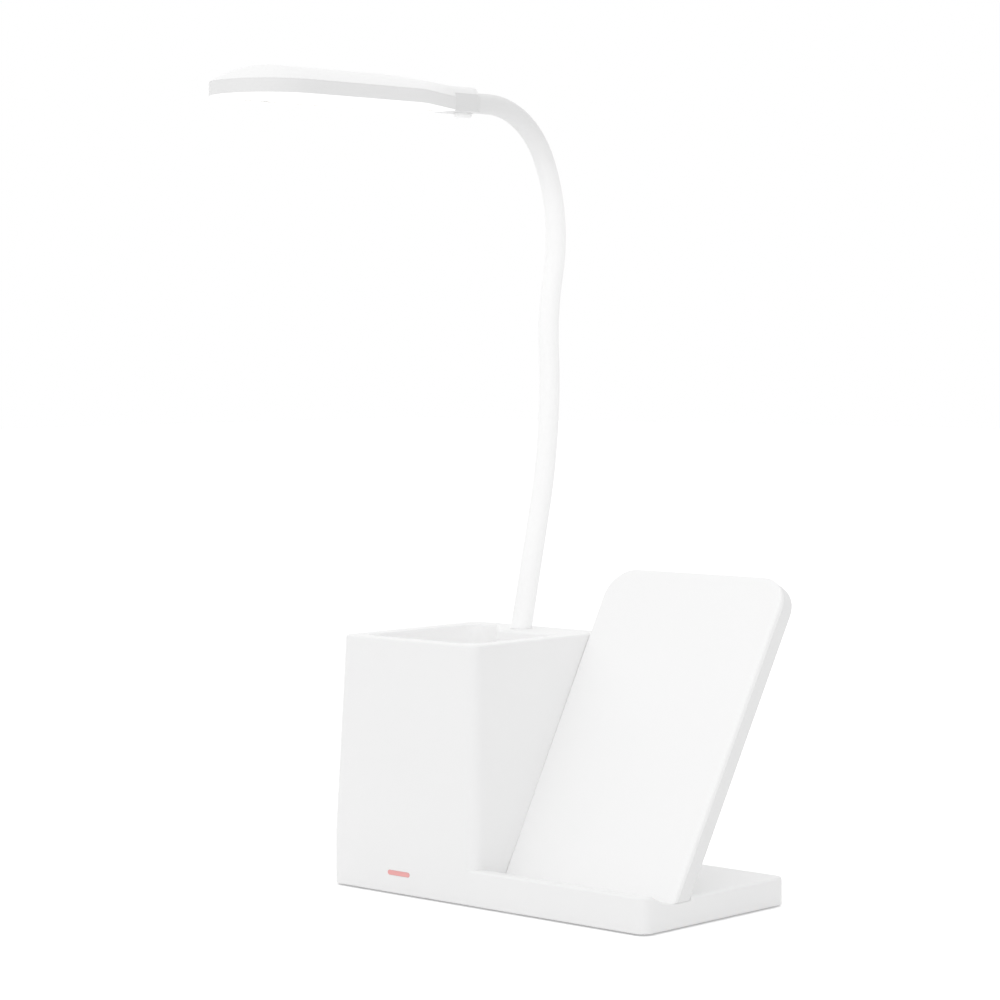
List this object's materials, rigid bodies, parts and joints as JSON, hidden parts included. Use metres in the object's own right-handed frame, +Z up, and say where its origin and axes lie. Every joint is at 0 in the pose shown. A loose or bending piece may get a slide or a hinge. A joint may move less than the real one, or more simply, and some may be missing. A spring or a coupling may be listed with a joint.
{
  "type": "desk lamp with pen cup and phone charging plate",
  "caption": "White desk lamp: a slim light head on a bendable neck behind an open pen cup, on a low wide base with a leaning phone charging plate and a front lip.",
  "frame": {"origin": "centre of the base's footprint on the desk top, at the underside of the non-slip pad", "axes": "+X right, towards the charging plate; +Y back, away from the user; +Z up"},
  "size_m": [0.178, 0.2015, 0.3467],
  "materials": {
    "housing": "satin white moulded plastic",
    "liner": "satin white moulded plastic",
    "cover": "fine matt light grey plastic",
    "pad": "matt dark rubber",
    "steel": "zinc plated steel",
    "board": "green solder mask",
    "chip": "matt black moulding",
    "socket": "nickel plated",
    "indicator": "translucent coral, lit",
    "indicator_led": "clear moulding, lit",
    "plate": "satin white moulded plastic",
    "tray": "satin white moulded plastic",
    "coil": "enamelled copper winding",
    "ferrite": "dark pressed sheet",
    "lead": "soft insulation",
    "sleeve": "smooth white silicone",
    "ferrule": "white moulding",
    "core": "wound steel",
    "neck_lead": "red insulation",
    "collar": "satin light grey plastic",
    "head": "satin white moulded plastic",
    "bezel": "satin white moulded plastic",
    "diffuser": "frosted, lit from behind",
    "led_board": "white coated aluminium",
    "led": "yellow phosphor, lit",
    "button": "satin light grey plastic"
  },
  "bodies": {
    "base": {"body_shell": "housing", "cup_liner": "liner", "bottom_cover": "cover", "non_slip_pad": "pad", "ballast_plate": "steel", "cover_screws": "steel", "ballast_screws": "steel", "main_board": "board", "board_parts": "chip", "power_inlet": "socket", "indicator_window": "indicator", "indicator_led": "indicator_led", "indicator_board": "board", "plate_front": "plate", "plate_tray": "tray", "charging_coil": "coil", "ferrite_sheet": "ferrite", "charger_board": "board", "charger_lead": "lead", "plate_screws": "steel", "foot_screws": "steel"},
    "swivel": {"neck_ferrule": "ferrule", "ferrule_nut": "steel"},
    "neck_1": {"neck_sleeve_1": "sleeve", "neck_core_1": "core", "neck_lead_1": "neck_lead"},
    "neck_2": {"neck_sleeve_2": "sleeve", "neck_core_2": "core", "neck_lead_2": "neck_lead"},
    "neck_3": {"neck_sleeve_3": "sleeve", "neck_core_3": "core", "neck_lead_3": "neck_lead"},
    "neck_4": {"neck_sleeve_4": "sleeve", "neck_core_4": "core", "neck_lead_4": "neck_lead"},
    "neck_5": {"neck_sleeve_5": "sleeve", "neck_core_5": "core", "neck_lead_5": "neck_lead"},
    "head": {"head_collar": "collar", "head_top_shell": "head", "head_bezel": "bezel", "diffuser": "diffuser", "led_board": "led_board", "led_chips": "led", "head_screws": "steel", "collar_screw": "steel", "button_switch": "chip"},
    "button": {"dimmer_button": "button"}
  },
  "joints": [
    {"name": "neck_swivel", "type": "hinge", "parent": "base", "child": "swivel", "pos_m": [-0.04625, 0.03065, 0.1116], "axis": [0, 0, 1], "range_deg": [-90, 60]},
    {"name": "foot_bend", "type": "hinge", "parent": "swivel", "child": "neck_1", "pos_m": [-0.04625, 0.03065, 0.1116], "axis": [1, 0, 0], "range_deg": [-10, 15]},
    {"name": "neck_bend_2", "type": "hinge", "parent": "neck_1", "child": "neck_2", "pos_m": [-0.04625, 0.04241, 0.16174], "axis": [1, 0, 0], "range_deg": [-15, 15]},
    {"name": "neck_bend_3", "type": "hinge", "parent": "neck_2", "child": "neck_3", "pos_m": [-0.04625, 0.04878, 0.23172], "axis": [1, 0, 0], "range_deg": [-15, 15]},
    {"name": "neck_bend_4", "type": "hinge", "parent": "neck_3", "child": "neck_4", "pos_m": [-0.04625, 0.05174, 0.26549], "axis": [1, 0, 0], "range_deg": [-15, 15]},
    {"name": "neck_bend_5", "type": "hinge", "parent": "neck_4", "child": "neck_5", "pos_m": [-0.04625, 0.04566, 0.31611], "axis": [1, 0, 0], "range_deg": [-15, 15]},
    {"name": "head_tilt", "type": "hinge", "parent": "neck_5", "child": "head", "pos_m": [-0.04625, 0.00996, 0.3382], "axis": [1, 0, 0], "range_deg": [-35, 20]},
    {"name": "dimmer_press", "type": "slide", "parent": "head", "child": "button", "axis": [0, 0, 1], "range_m": [0, 0.0008], "stiffness_N_per_m": 500, "springref_m": -0.0004}
  ]
}
